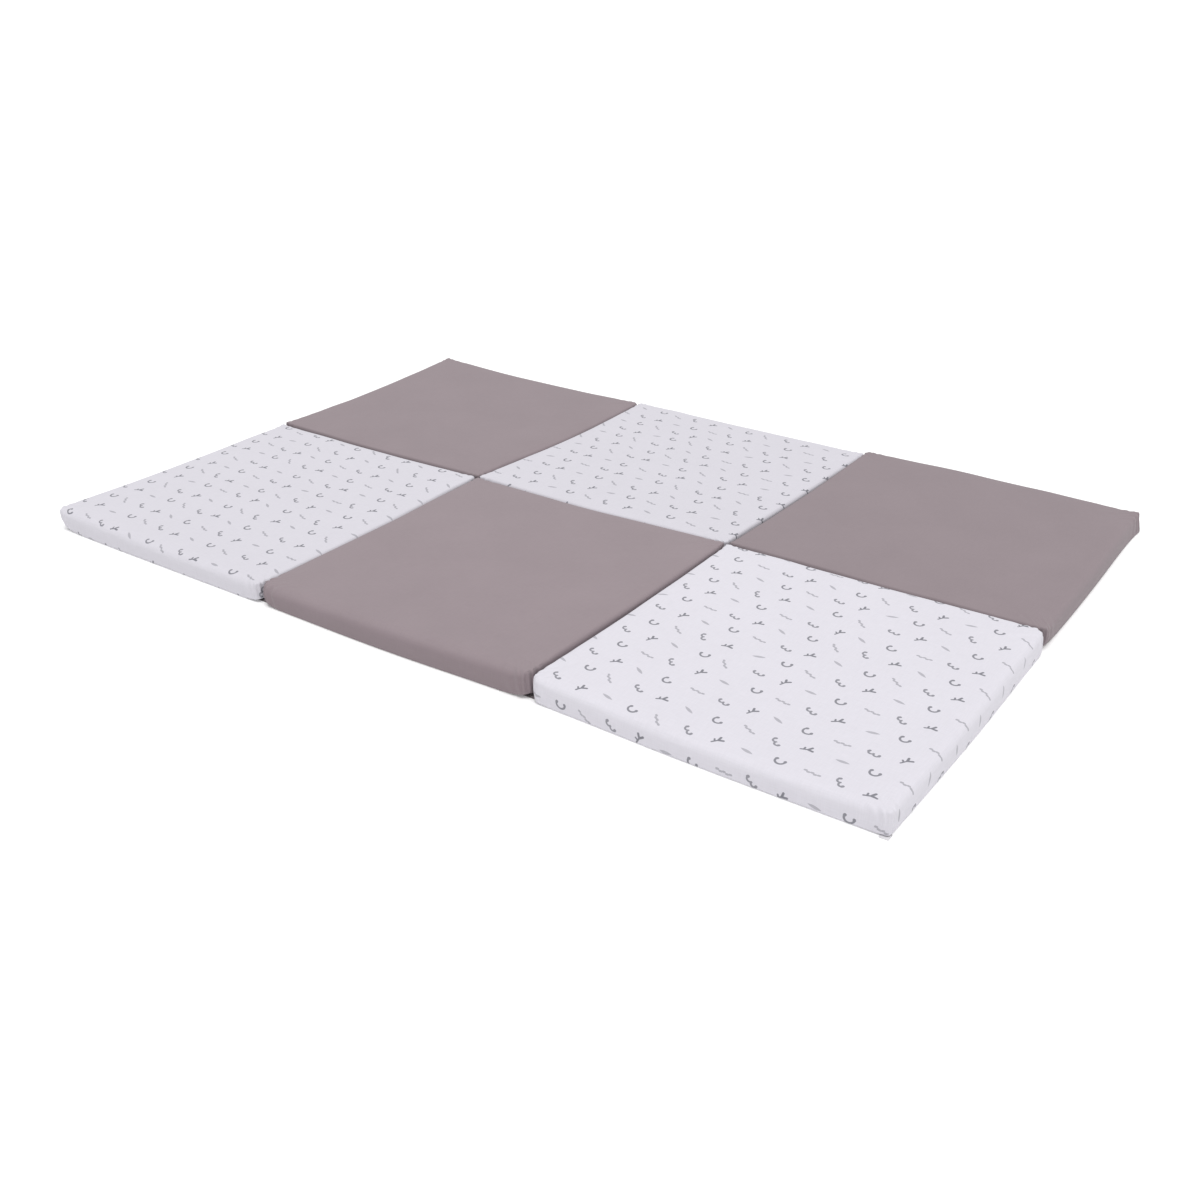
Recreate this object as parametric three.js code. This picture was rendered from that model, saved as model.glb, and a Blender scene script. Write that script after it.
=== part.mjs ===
// A baby play mat, unfolded on the floor: six soft square pads, three along by two across, in
// covers of printed white and plain grey cotton, joined by one cloth underneath.
// Millimetres. +X runs along the mat, -Y is its front, +Z is up, and the floor is at Z = 0.
import * as THREE from "three";
import { mergeVertices } from "three/addons/utils/BufferGeometryUtils.js";

// Driving sizes
const PAD_ALONG = 600; // pitch of the pads along the mat
const PAD_DEEP = 612; // pitch of the pads across the mat
const PAD_GAP = 4; // between two neighbouring pads
const BASE_THICK = 2; // the cloth that joins the pads
const CLEARANCE = 0.3; // between pieces that lie on or against each other
const CROWN = 3; // how much higher a pad's middle is than its edges
const FOLD_ROUND = 7; // radius of a pad's top edge where it meets another pad, and at the back
const SOFT_ROUND = 12; // radius of the top edges along the mat's front and right side
const POINT_REACH = 45; // how far from a corner's sewn point the top edge has its full radius
const BOTTOM_ROUND = 3; // radius of a pad's bottom edge
const LIFT_REACH = 55; // how far from a pad's corner its underside starts to turn up
const SIDE_BULGE = 1; // how far the sides swell at half height
const LEAST_ROUND = 0.5; // no ring of a pad has a sharper corner than this, seen from above

// How the edges of the pads wander. A row is one line of the mat. Its numbers say how far it lies
// behind its straight place, or to the right of it, at the ends and the middle of every pad.
const LINES_ALONG = [
  { line: "front", wander: [-5, -6, -7, -9, 0, -7, -7] },
  { line: "middle", wander: [13, 2, 5, -5, 7, 1, 2] },
  { line: "back", wander: [13, 7, 6, -1, 3, 8, -6] },
];
const LINES_ACROSS = [
  { line: "left", wander: [10, 7, -7, -8, -24] },
  { line: "left seam", wander: [0, 0, -11, 8, 1] },
  { line: "right seam", wander: [-2, -1, -4, 2, 5] },
  { line: "right", wander: [3, 9, 7, 6, 0] },
];

// The pads. Each list is read round the pad from its front left corner, anticlockwise from above.
// rim: height of the top edge above the floor, at the corners and the middles of the sides.
// round: radius of the upright corners, seen from above.
// point: radius of the top edge right at the corners, where it runs into the sewn point.
// lift: how far the underside turns up at the corners.
const PADS = [
  {
    name: "pad_front_left",
    column: 0,
    row: 0,
    cover: "print",
    rim: [45, 38, 39, 40, 42, 42, 41, 41],
    round: [20, 10, 4, 4],
    point: [5, 4, 3, 3],
    lift: [10, 6, 4, 4],
  },
  {
    name: "pad_front_middle",
    column: 1,
    row: 0,
    cover: "grey",
    rim: [41, 46, 50, 46, 44, 45, 42, 42],
    round: [22, 14, 4, 4],
    point: [6, 5, 3, 3],
    lift: [10, 9, 4, 4],
  },
  {
    name: "pad_front_right",
    column: 2,
    row: 0,
    cover: "print",
    rim: [47, 36, 41, 43, 45, 44, 43, 42],
    round: [18, 5, 18, 4],
    point: [8, 3, 8, 3],
    lift: [3, 2, 4, 4],
  },
  {
    name: "pad_back_left",
    column: 0,
    row: 1,
    cover: "grey",
    rim: [42, 42, 42, 42, 43, 42, 52, 44],
    round: [4, 4, 12, 4],
    point: [3, 3, 5, 3],
    lift: [4, 4, 4, 6],
  },
  {
    name: "pad_back_middle",
    column: 1,
    row: 1,
    cover: "print",
    rim: [42, 42, 42, 40, 38, 42, 44, 42],
    round: [4, 4, 4, 8],
    point: [3, 3, 3, 4],
    lift: [4, 4, 4, 4],
  },
  {
    name: "pad_back_right",
    column: 2,
    row: 1,
    cover: "grey",
    rim: [42, 42, 42, 42, 42, 43, 46, 40],
    round: [4, 8, 2, 12],
    point: [3, 4, 2, 5],
    lift: [4, 3, 1, 4],
  },
];

// The base cloth ends a little inside the pads' outer faces.
const BASE_INSET = 12;
const BASE_CORNER = 4; // radius of its corners
const BASE_STEPS = 12; // points along each side of it

// The blank tab sewn in under the front right corner
const TAB_WIDE = 14;
const TAB_LONG = 14;
const TAB_THICK = 1.2;
const TAB_ROUND = 2; // radius of its outer corners
const TAB_ASIDE = 8; // from where the base cloth's corner starts to turn to the tab's middle

// Steps of cloth from a pad's edge towards its middle, and down its side from the top edge
const EDGE_STEPS = [0, 5, 11, 18, 40, 100, 190];
const SIDE_STEPS = 5;
const CORNER_STEPS = 4; // along each round corner of the base cloth
const WELD = 1e-4; // points of the grid that lie nearer than this are one point
const FACE = 1 - 1e-6; // a point of the grid that lies further out is on its top or bottom face

function cloth(name, color, roughness) {
  return new THREE.MeshStandardMaterial({ name, color, roughness, metalness: 0 });
}

const CLOTHS = {
  print: cloth("printed_cotton", 0xe8e5ec, 0.85),
  grey: cloth("grey_cotton", 0x9f9498, 0.85),
  base: cloth("base_cotton", 0x7d7579, 0.9),
  tab: cloth("tab_tape", 0xf0eff2, 0.7),
};

// A smooth curve through evenly spaced values, read at a place from 0 to 1 along them.
function smooth(values) {
  const places = values.map((_, index) => index / (values.length - 1));
  const curve = new THREE.CubicInterpolant(places, values, 1);
  return (place) => curve.evaluate(THREE.MathUtils.clamp(place, 0, 1))[0];
}

const alongCurves = LINES_ALONG.map((row) => smooth(row.wander));
const acrossCurves = LINES_ACROSS.map((row) => smooth(row.wander));
const MAT_LEFT = (-PAD_ALONG * (LINES_ACROSS.length - 1)) / 2;
const MAT_FRONT = (-PAD_DEEP * (LINES_ALONG.length - 1)) / 2;

// Where a point of the straight pad grid lies on the real mat.
function wandered(x, y, column, row) {
  const alongPlace = (x - MAT_LEFT) / (-2 * MAT_LEFT);
  const acrossPlace = (y - MAT_FRONT) / (-2 * MAT_FRONT);
  const fromLeft = (x - MAT_LEFT) / PAD_ALONG - column;
  const fromFront = (y - MAT_FRONT) / PAD_DEEP - row;
  const { lerp } = THREE.MathUtils;
  return {
    x: x + lerp(acrossCurves[column](acrossPlace), acrossCurves[column + 1](acrossPlace), fromLeft),
    y: y + lerp(alongCurves[row](alongPlace), alongCurves[row + 1](alongPlace), fromFront),
  };
}

// Half the length of cloth that goes round a quarter turn of this radius.
function halfArc(radius) {
  return (radius * Math.PI) / 4;
}

// Cloth that runs level towards an edge and turns over it with a round of this radius. "past" is
// how far along the cloth a point lies past the fold that a sharp edge would have. The result is
// how far the point lies in from that edge, and how far below the level.
function turnOver(past, radius) {
  const half = halfArc(radius);
  if (past <= -half) {
    return { inset: radius - half - past, drop: 0 };
  }
  if (past >= half) {
    return { inset: 0, drop: radius - half + past };
  }
  const angle = (past + half) / radius;
  return { inset: radius * (1 - Math.sin(angle)), drop: radius * (1 - Math.cos(angle)) };
}

// Cloth from the fold to the middle of a face that is 2 * half wide.
function clothToMiddle(half, radius) {
  return half - radius + halfArc(radius);
}

// The top edge's height between the eight values of a pad's rim, at u and v from -1 to 1.
function rimHeight(rim, u, v) {
  const signs = [[-1, -1], [0, -1], [1, -1], [1, 0], [1, 1], [0, 1], [-1, 1], [-1, 0]];
  return signs.reduce((sum, [a, b], index) => {
    if (a === 0) return sum + (rim[index] * (1 - u * u) * (1 + b * v)) / 2;
    if (b === 0) return sum + (rim[index] * (1 - v * v) * (1 + a * u)) / 2;
    return sum + (rim[index] * (1 + a * u) * (1 + b * v) * (a * u + b * v - 1)) / 4;
  }, 0);
}

// Distance of cloth from the edge for a grid coordinate from -1 to 1, with short steps at the edge.
function fromEdge(coordinate, middle) {
  const step = Math.round((1 - Math.abs(coordinate)) * EDGE_STEPS.length);
  return step < EDGE_STEPS.length ? EDGE_STEPS[step] : middle;
}

// A point of a ring that lies "inset" in from the pad's faces. "along" is its distance of cloth
// from the ring's corner, out of "reach" to the middle of that side.
function ringPoint(inset, along, reach, halfAcross, halfSide, cornerRound) {
  const radius = Math.max(cornerRound - inset, LEAST_ROUND);
  const room = clothToMiddle(halfSide - inset, radius);
  const turned = turnOver((-along * room) / reach, radius);
  return { out: halfAcross - inset - turned.drop, side: halfSide - inset - turned.inset };
}

// The radius of a top edge, at a distance of cloth "far" from its nearer end.
function topRound(point, full, far) {
  const share = 1 - (1 - Math.min(far / POINT_REACH, 1)) ** 2;
  return THREE.MathUtils.lerp(point, full, share);
}

// The section through a pad's edge, at a height from -1 to 1 on the grid and a distance of cloth in
// from the edge. It gives the face from which the height is measured, the inset and the drop.
function edgeSection(gridZ, near, round) {
  if (gridZ > FACE) return { face: "top", ...turnOver(-near, round) };
  if (gridZ < -FACE) return { face: "bottom", ...turnOver(-near, BOTTOM_ROUND) };
  const step = Math.round(((1 - gridZ) / 2) * SIDE_STEPS);
  if (step === 1) return { face: "top", ...turnOver(halfArc(round) / 2, round) };
  if (step === 2) return { face: "top", ...turnOver(halfArc(round), round) };
  if (step === SIDE_STEPS - 1) return { face: "bottom", ...turnOver(halfArc(BOTTOM_ROUND), BOTTOM_ROUND) };
  return { face: "side", inset: -SIDE_BULGE, drop: 0 };
}

// Corners are counted like the lists of PADS.
function cornerAt(x, y) {
  if (y < 0) return x < 0 ? 0 : 1;
  return x < 0 ? 3 : 2;
}

// A grid box, each of whose points is carried to its place on the soft pad.
function padGeometry(pad) {
  const faceSteps = 2 * EDGE_STEPS.length;
  const box = new THREE.BoxGeometry(2, 2, 2, faceSteps, faceSteps, SIDE_STEPS);
  box.deleteAttribute("normal");
  box.deleteAttribute("uv");
  const geometry = mergeVertices(box, WELD);
  const points = geometry.getAttribute("position");
  const halfX = (PAD_ALONG - PAD_GAP) / 2;
  const halfY = (PAD_DEEP - PAD_GAP) / 2;
  const middleX = clothToMiddle(halfX, FOLD_ROUND);
  const middleY = clothToMiddle(halfY, FOLD_ROUND);
  const centreX = MAT_LEFT + (pad.column + 0.5) * PAD_ALONG;
  const centreY = MAT_FRONT + (pad.row + 0.5) * PAD_DEEP;
  const bottom = BASE_THICK + CLEARANCE;

  for (let index = 0; index < points.count; index++) {
    const gridX = points.getX(index);
    const gridY = points.getY(index);
    const edgeX = fromEdge(gridX, middleX);
    const edgeY = fromEdge(gridY, middleY);
    const near = Math.min(edgeX, edgeY);
    const far = Math.max(edgeX, edgeY) - near;
    const corner = cornerAt(gridX, gridY);
    const onEnd = edgeX <= edgeY;
    const atFront = !onEnd && gridY < 0 && pad.row === 0;
    const atRight = onEnd && gridX > 0 && pad.column === LINES_ACROSS.length - 2;
    const fullRound = atFront || atRight ? SOFT_ROUND : FOLD_ROUND;
    const round = topRound(pad.point[corner], fullRound, far);
    const section = edgeSection(points.getZ(index), near, round);

    // The ring at that inset gives the place seen from above.
    const reach = (onEnd ? middleY : middleX) - near;
    const [halfOut, halfSide] = onEnd ? [halfX, halfY] : [halfY, halfX];
    const ring = ringPoint(section.inset, far, reach, halfOut, halfSide, pad.round[corner]);
    const x = Math.sign(gridX) * (onEnd ? ring.out : ring.side);
    const y = Math.sign(gridY) * (onEnd ? ring.side : ring.out);

    // The rim's heights, the crown and the turned-up corners give the height.
    const [u, v] = [x / halfX, y / halfY];
    const top = rimHeight(pad.rim, u, v) + CROWN * (1 - u * u) * (1 - v * v);
    const toCorner = Math.hypot(halfX - Math.abs(x), halfY - Math.abs(y));
    const lift = pad.lift[corner] * Math.max(0, 1 - toCorner / LIFT_REACH) ** 2;
    const height = {
      top: top - section.drop,
      side: (top - round + bottom + BOTTOM_ROUND + lift) / 2,
      bottom: bottom + lift + section.drop,
    }[section.face];

    const place = wandered(centreX + x, centreY + y, pad.column, pad.row);
    points.setXYZ(index, place.x, place.y, height);
  }
  geometry.computeVertexNormals();
  return geometry;
}

// The outline of the base cloth: the pads' outer lines, drawn in, with round corners.
function baseGeometry() {
  const columns = LINES_ACROSS.length - 1;
  const rows = LINES_ALONG.length - 1;
  const halfX = -MAT_LEFT - BASE_INSET;
  const halfY = -MAT_FRONT - BASE_INSET;
  const straight = [];
  const corners = [[1, -1, -90], [1, 1, 0], [-1, 1, 90], [-1, -1, 180]];
  corners.forEach(([signX, signY, startDegrees], index) => {
    for (let step = 0; step <= CORNER_STEPS; step++) {
      const angle = THREE.MathUtils.degToRad(startDegrees + (90 * step) / CORNER_STEPS);
      straight.push([
        signX * (halfX - BASE_CORNER) + BASE_CORNER * Math.cos(angle),
        signY * (halfY - BASE_CORNER) + BASE_CORNER * Math.sin(angle),
      ]);
    }
    const [nextX, nextY] = corners[(index + 1) % corners.length];
    for (let step = 1; step < BASE_STEPS; step++) {
      const share = (2 * step) / BASE_STEPS - 1;
      const x = signX === nextX ? signX * halfX : nextX * share * (halfX - BASE_CORNER);
      const y = signY === nextY ? signY * halfY : nextY * share * (halfY - BASE_CORNER);
      straight.push([x, y]);
    }
  });
  const outline = straight.map(([x, y]) => {
    const column = THREE.MathUtils.clamp(Math.floor((x - MAT_LEFT) / PAD_ALONG), 0, columns - 1);
    const row = THREE.MathUtils.clamp(Math.floor((y - MAT_FRONT) / PAD_DEEP), 0, rows - 1);
    const place = wandered(x, y, column, row);
    return new THREE.Vector2(place.x, place.y);
  });
  return new THREE.ExtrudeGeometry(new THREE.Shape(outline), { depth: BASE_THICK, bevelEnabled: false });
}

// A flat tab, drawn from its sewn end outwards along +X.
function tabGeometry() {
  const half = TAB_WIDE / 2;
  const shape = new THREE.Shape();
  shape.moveTo(0, -half);
  shape.lineTo(TAB_LONG - TAB_ROUND, -half);
  shape.absarc(TAB_LONG - TAB_ROUND, -half + TAB_ROUND, TAB_ROUND, -Math.PI / 2, 0, false);
  shape.absarc(TAB_LONG - TAB_ROUND, half - TAB_ROUND, TAB_ROUND, 0, Math.PI / 2, false);
  shape.lineTo(0, half);
  shape.closePath();
  return new THREE.ExtrudeGeometry(shape, { depth: TAB_THICK, bevelEnabled: false, curveSegments: 3 });
}

function piece(name, geometry, material) {
  const mesh = new THREE.Mesh(geometry, material);
  mesh.name = name;
  return mesh;
}

const mat = new THREE.Group();
mat.name = "play_mat";
for (const pad of PADS) {
  mat.add(piece(pad.name, padGeometry(pad), CLOTHS[pad.cover]));
}
mat.add(piece("base_cloth", baseGeometry(), CLOTHS.base));

// The tab points forwards from the base cloth's front right corner.
const tab = piece("label_tab", tabGeometry(), CLOTHS.tab);
const cornerCentre = wandered(
  -MAT_LEFT - BASE_INSET - BASE_CORNER,
  MAT_FRONT + BASE_INSET + BASE_CORNER,
  LINES_ACROSS.length - 2,
  0,
);
const tabStart = BASE_CORNER + 2 * CLEARANCE;
tab.position.set(cornerCentre.x + TAB_ASIDE, cornerCentre.y - tabStart, 0);
tab.rotation.z = -Math.PI / 2;
mat.add(tab);

// The origin is the centre of the mat's footprint, on the floor.
const bounds = new THREE.Box3().setFromObject(mat);
const centre = bounds.getCenter(new THREE.Vector3());
mat.position.set(-centre.x, -centre.y, -bounds.min.z);

const root = new THREE.Group();
root.add(mat);
export default root;
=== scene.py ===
# %% [markdown]
# A baby play mat lies unfolded on the floor. It has six soft square pads, three along and two
# across. Their cotton covers take turns: a small grey print on white, then plain warm grey. One
# cloth underneath joins the pads, so the mat folds up along the gaps between them.
#
# It stays as it is, and every piece below replaces one of its solids. The box of the whole model
# is kept, to compare sizes at the end.

# %% The solid model and its box
import math

import bmesh
import bpy
import numpy as np
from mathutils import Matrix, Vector, noise


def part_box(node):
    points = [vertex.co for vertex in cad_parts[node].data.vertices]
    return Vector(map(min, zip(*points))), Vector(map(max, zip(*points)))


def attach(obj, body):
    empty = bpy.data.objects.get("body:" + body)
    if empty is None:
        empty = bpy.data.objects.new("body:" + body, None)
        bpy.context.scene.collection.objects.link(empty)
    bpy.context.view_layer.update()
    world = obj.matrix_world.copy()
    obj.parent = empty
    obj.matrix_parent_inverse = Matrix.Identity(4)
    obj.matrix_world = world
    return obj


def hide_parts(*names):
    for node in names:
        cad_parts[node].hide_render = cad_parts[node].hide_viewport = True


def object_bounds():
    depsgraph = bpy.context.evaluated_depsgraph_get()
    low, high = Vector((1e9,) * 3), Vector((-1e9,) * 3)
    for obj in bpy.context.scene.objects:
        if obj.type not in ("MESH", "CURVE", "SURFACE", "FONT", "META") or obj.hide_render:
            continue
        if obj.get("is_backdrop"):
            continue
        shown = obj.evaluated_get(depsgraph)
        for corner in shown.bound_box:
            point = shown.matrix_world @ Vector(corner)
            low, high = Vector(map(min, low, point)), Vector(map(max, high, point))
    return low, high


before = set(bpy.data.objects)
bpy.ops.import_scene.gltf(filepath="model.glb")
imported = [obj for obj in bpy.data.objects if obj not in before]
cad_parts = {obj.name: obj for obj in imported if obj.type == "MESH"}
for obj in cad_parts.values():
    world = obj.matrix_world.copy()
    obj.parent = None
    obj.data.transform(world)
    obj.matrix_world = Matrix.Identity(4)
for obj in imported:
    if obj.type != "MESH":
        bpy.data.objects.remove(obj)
cad_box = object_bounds()
print("solids:", ", ".join(sorted(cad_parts)))

# %% [markdown]
# The sizes come first, all in metres. A pad is a block of foam in a cover that is cut to fit it,
# so a few sizes serve all six: the pitch of the grid, the gap, and how round the edges are.

# %% Sizes that all pads share
MM = 0.001
PAD_ALONG = 600 * MM  # pitch of the pads along the mat
PAD_DEEP = 612 * MM  # pitch of the pads across the mat
PAD_GAP = 4 * MM
BASE_THICK = 2 * MM
CLEARANCE = 0.3 * MM  # between the base cloth and the pads
CROWN = 3 * MM
FOLD_ROUND = 7 * MM  # top edges where two pads meet, and at the back and left
POINT_REACH = 45 * MM  # how far from a corner's point the top edge has its full radius
BOTTOM_ROUND = 1.2 * MM
LIFT_REACH = 55 * MM  # how far from a corner its underside turns up
SIDE_BULGE = 1 * MM
LEAST_ROUND = 0.5 * MM
COLUMNS = 3
ROWS = 2
MAT_LEFT = -PAD_ALONG * COLUMNS / 2
MAT_FRONT = -PAD_DEEP * ROWS / 2


def past_solid(low, high, solid_low, solid_high):
    """How far a piece reaches past its solid, in mm, as differences at the low and high ends."""
    ends = (low, solid_low), (high, solid_high)
    return [[round(float(mine - its) / MM, 2) for mine, its in zip(*end)] for end in ends]


def in_scene(name, data):
    """A new object, linked to the scene."""
    thing = bpy.data.objects.new(name, data)
    bpy.context.scene.collection.objects.link(thing)
    return thing


print("pads cover, mm:", round(PAD_ALONG * COLUMNS / MM), "by", round(PAD_DEEP * ROWS / MM))

# %% [markdown]
# No edge of a soft mat is straight. Each line of the grid wanders by a few millimetres, and the
# two pads beside it follow the same line, so the gap stays even. The tables say, in millimetres,
# how far a line lies behind its straight place, or to the right of it. They have a value at each
# pad's corners and at the middle of its sides.

# %% How the lines between the pads wander
LINES_ALONG = {
    "front": [-5, -6, -7, -9, 0, -7, -7],
    "middle": [13, 2, 5, -5, 7, 1, 2],
    "back": [13, 7, 6, -1, 3, 8, -6],
}
LINES_ACROSS = {
    "left": [10, 7, -7, -8, -24],
    "left seam": [0, 0, -11, 8, 1],
    "right seam": [-2, -1, -4, 2, 5],
    "right": [3, 9, 7, 6, 0],
}


def smooth(values, place):
    """A smooth curve through evenly spaced values, read at places from 0 to 1 along them."""
    v = np.asarray(values, float) * MM
    v = np.concatenate([[2 * v[0] - v[1]], v, [2 * v[-1] - v[-2]]])
    at = np.clip(place, 0, 1) * (len(values) - 1)
    i = np.minimum(at.astype(int), len(values) - 2)
    p = at - i
    before, here, there, after = v[i], v[i + 1], v[i + 2], v[i + 3]
    bend = 2 * before - 5 * here + 4 * there - after
    twist = -before + 3 * here - 3 * there + after
    return here + 0.5 * p * (there - before + p * (bend + p * twist))


def wandered(x, y, column, row):
    """Where points of the straight grid lie on the real mat."""
    along = (x - MAT_LEFT) / (PAD_ALONG * COLUMNS)
    across = (y - MAT_FRONT) / (PAD_DEEP * ROWS)
    from_left = (x - MAT_LEFT) / PAD_ALONG - column
    from_front = (y - MAT_FRONT) / PAD_DEEP - row
    sides = list(LINES_ACROSS.values())
    levels = list(LINES_ALONG.values())
    shift_x = np.zeros_like(x)
    shift_y = np.zeros_like(y)
    for c in range(COLUMNS):
        left, right = smooth(sides[c], across), smooth(sides[c + 1], across)
        shift_x = np.where(column == c, left + (right - left) * from_left, shift_x)
    for r in range(ROWS):
        near, far = smooth(levels[r], along), smooth(levels[r + 1], along)
        shift_y = np.where(row == r, near + (far - near) * from_front, shift_y)
    return x + shift_x, y + shift_y


# %% [markdown]
# Each pad has its own small unevenness. The lists go round the pad from its front left corner,
# anticlockwise as seen from above. The rim is the height of the top edge at the four corners and
# at the middles of the four sides. The next five are for the corners: "round" is the radius of
# the upright edge, "point" that of the top edge where it runs into the seam, "lift" is how far
# the underside turns up, "ear" is how far the seam's top end sticks up, and "flare" how far its
# foot stands out. All of these are in millimetres. "Gather" is how strongly the cloth puckers
# beside the seam, "soft" the radius of the top edge along the mat's front and right side, in
# millimetres, "seed" picks the pad's own noise, and "shade" is the share of its colour that is
# kept: a painted shade for the light that falls off across the mat.

# %% The six pads
PADS = {
    "pad_front_left": dict(
        column=0, row=0, cover="print", soft=12, seed=11, shade=0.93,
        rim=[45, 38, 39, 40, 42, 42, 41, 41],
        round=[20, 10, 4, 4], point=[5, 4, 3, 3], lift=[10, 6, 4, 4],
        ear=[0, 0.5, 0.5, 1.5], flare=[-5, 0, 0, 0], gather=[1.4, 1, 1, 1],
    ),
    "pad_front_middle": dict(
        column=1, row=0, cover="grey", soft=19, seed=23, shade=0.98,
        rim=[41, 46, 50, 46, 44, 45, 42, 42],
        round=[22, 14, 4, 4], point=[6, 5, 3, 3], lift=[10, 9, 4, 4],
        ear=[0, 0, 0.5, 0.5], flare=[0, 0, 0, 0], gather=[2.4, 1.8, 1, 1],
    ),
    "pad_front_right": dict(
        column=2, row=0, cover="print", soft=12, seed=37, shade=1,
        rim=[47, 36, 41, 43, 45, 44, 43, 42],
        round=[18, 5, 18, 4], point=[8, 3, 8, 3], lift=[3, 2, 4, 4],
        ear=[0, 1, 0, 0.5], flare=[0, 0, 2, 0], gather=[1, 1.2, 1.2, 1],
    ),
    "pad_back_left": dict(
        column=0, row=1, cover="grey", soft=12, seed=41, shade=0.94,
        rim=[42, 42, 42, 42, 43, 42, 52, 44],
        round=[4, 4, 12, 4], point=[3, 3, 5, 3], lift=[4, 4, 4, 6],
        ear=[2, 0.5, 0, 0.5], flare=[0, 0, 0, 0], gather=[1, 1, 1, 1],
    ),
    "pad_back_middle": dict(
        column=1, row=1, cover="print", soft=12, seed=53, shade=0.92,
        rim=[42, 42, 42, 40, 38, 42, 44, 42],
        round=[4, 4, 4, 8], point=[3, 3, 3, 4], lift=[4, 4, 4, 4],
        ear=[0.5, 0.5, 0.5, 0], flare=[0, 0, 0, 0], gather=[1, 1, 1, 1],
    ),
    "pad_back_right": dict(
        column=2, row=1, cover="grey", soft=12, seed=67, shade=0.91,
        rim=[42, 42, 42, 42, 42, 43, 46, 40],
        round=[4, 8, 2, 12], point=[3, 4, 2, 5], lift=[4, 3, 1, 4],
        ear=[0.5, 0, 2, 0], flare=[0, -5, 8, 0], gather=[1, 1, 1.3, 1],
    ),
}

# %% [markdown]
# A cover could be a rounded box from a bevel. But a bevel knows nothing of cloth. Here each point
# of the cover is found by how much cloth lies between it and the edge. The cloth runs level, goes
# round the edge in an arc and then runs down the side. That gives the shape, and the same numbers
# give the print its place, so it runs over the edge without a break, as on the real cover.


# %% How cloth goes round an edge
def half_arc(radius):
    return radius * np.pi / 4


def turn_over(past, radius):
    """Inset from the edge, drop below the level and angle turned, for cloth past the fold."""
    half = half_arc(radius)
    angle = np.clip((past + half) / radius, 0, np.pi / 2)
    inset = radius * (1 - np.sin(angle)) + np.maximum(-half - past, 0)
    drop = radius * (1 - np.cos(angle)) + np.maximum(past - half, 0)
    return inset, drop, angle


def cloth_to_middle(half, radius):
    return half - radius + half_arc(radius)


def by_nearest_edge(cloth_x, cloth_y, middle_x, middle_y):
    """How far places on a cloth lie from its nearest edge, how much further from the next one,
    and whether the nearest edge is an end."""
    edge_x, edge_y = middle_x - np.abs(cloth_x), middle_y - np.abs(cloth_y)
    near = np.minimum(edge_x, edge_y)
    return near, np.maximum(edge_x, edge_y) - near, edge_x <= edge_y


def ring_points(cloth_x, cloth_y, inset, middle, half, corner_round):
    """Points that lie "inset" in from the faces of a block, for places on the cloth over it.
    Middle and half are pairs for x and y: half of the cloth on top, and half of the block."""
    near, far, on_end = by_nearest_edge(cloth_x, cloth_y, *middle)
    reach = np.maximum(np.where(on_end, middle[1], middle[0]) - near, LEAST_ROUND)
    half_out, half_side = np.where(on_end, half[0], half[1]), np.where(on_end, half[1], half[0])
    radius = np.maximum(corner_round - inset, LEAST_ROUND)
    room = cloth_to_middle(half_side - inset, radius)
    side_inset, drop, _ = turn_over(-far * room / reach, radius)
    out, side = half_out - inset - drop, half_side - inset - side_inset
    x = np.where(on_end, out, side) * np.sign(cloth_x)
    y = np.where(on_end, side, out) * np.sign(cloth_y)
    return x, y


def rim_height(rim, u, v):
    """The top edge's height between the eight values of the rim, at u and v from -1 to 1."""
    signs = [(-1, -1), (0, -1), (1, -1), (1, 0), (1, 1), (0, 1), (-1, 1), (-1, 0)]
    total = 0
    for (a, b), height in zip(signs, rim):
        if a == 0:
            total = total + height * MM * (1 - u * u) * (1 + b * v) / 2
        elif b == 0:
            total = total + height * MM * (1 - v * v) * (1 + a * u) / 2
        else:
            total = total + height * MM * (1 + a * u) * (1 + b * v) * (a * u + b * v - 1) / 4
    return total


# %% [markdown]
# The cover is made of a grid of quads. Its lines lie close together at the edges, where the form
# is round and full of small gathers, and spread out over the flat middle.

# %% Lines of the grid over a face and down a side
FINE_STEP = 2 * MM  # near an edge
FINE_STEPS = 16
WIDE_STEPS = 20  # from there to the middle, each a little wider than the last
GROWTH = 1.13
SIDE_STEPS = 16

HALF_X = (PAD_ALONG - PAD_GAP) / 2
HALF_Y = (PAD_DEEP - PAD_GAP) / 2
MIDDLE_X = cloth_to_middle(HALF_X, FOLD_ROUND)
MIDDLE_Y = cloth_to_middle(HALF_Y, FOLD_ROUND)


def face_lines(middle):
    """Cloth distances from the middle of a face, from edge to edge."""
    fine = np.arange(FINE_STEPS + 1) * FINE_STEP
    wide = np.cumsum(GROWTH ** np.arange(1, WIDE_STEPS + 1))
    half = np.concatenate([fine, fine[-1] + wide * (middle - fine[-1]) / wide[-1]])
    return np.concatenate([half - middle, (middle - half[:-1])[::-1]])


print("quads across a face:", len(face_lines(MIDDLE_X)) - 1,
      "widest, mm:", round(float(np.diff(face_lines(MIDDLE_X)).max()) / MM, 1))

# %% [markdown]
# A cover that is cut from flat cloth has too much of it at a corner. The seam takes up the rest,
# and the cloth beside it puckers into small gathers that die out along the side. They are waves
# across the cloth, tightest next to the seam. Along the edges, the top is faintly crinkled,
# because the cloth is pulled over the fold there. And foam is never quite flat, so the large
# faces swell and sink by less than a millimetre.

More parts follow.
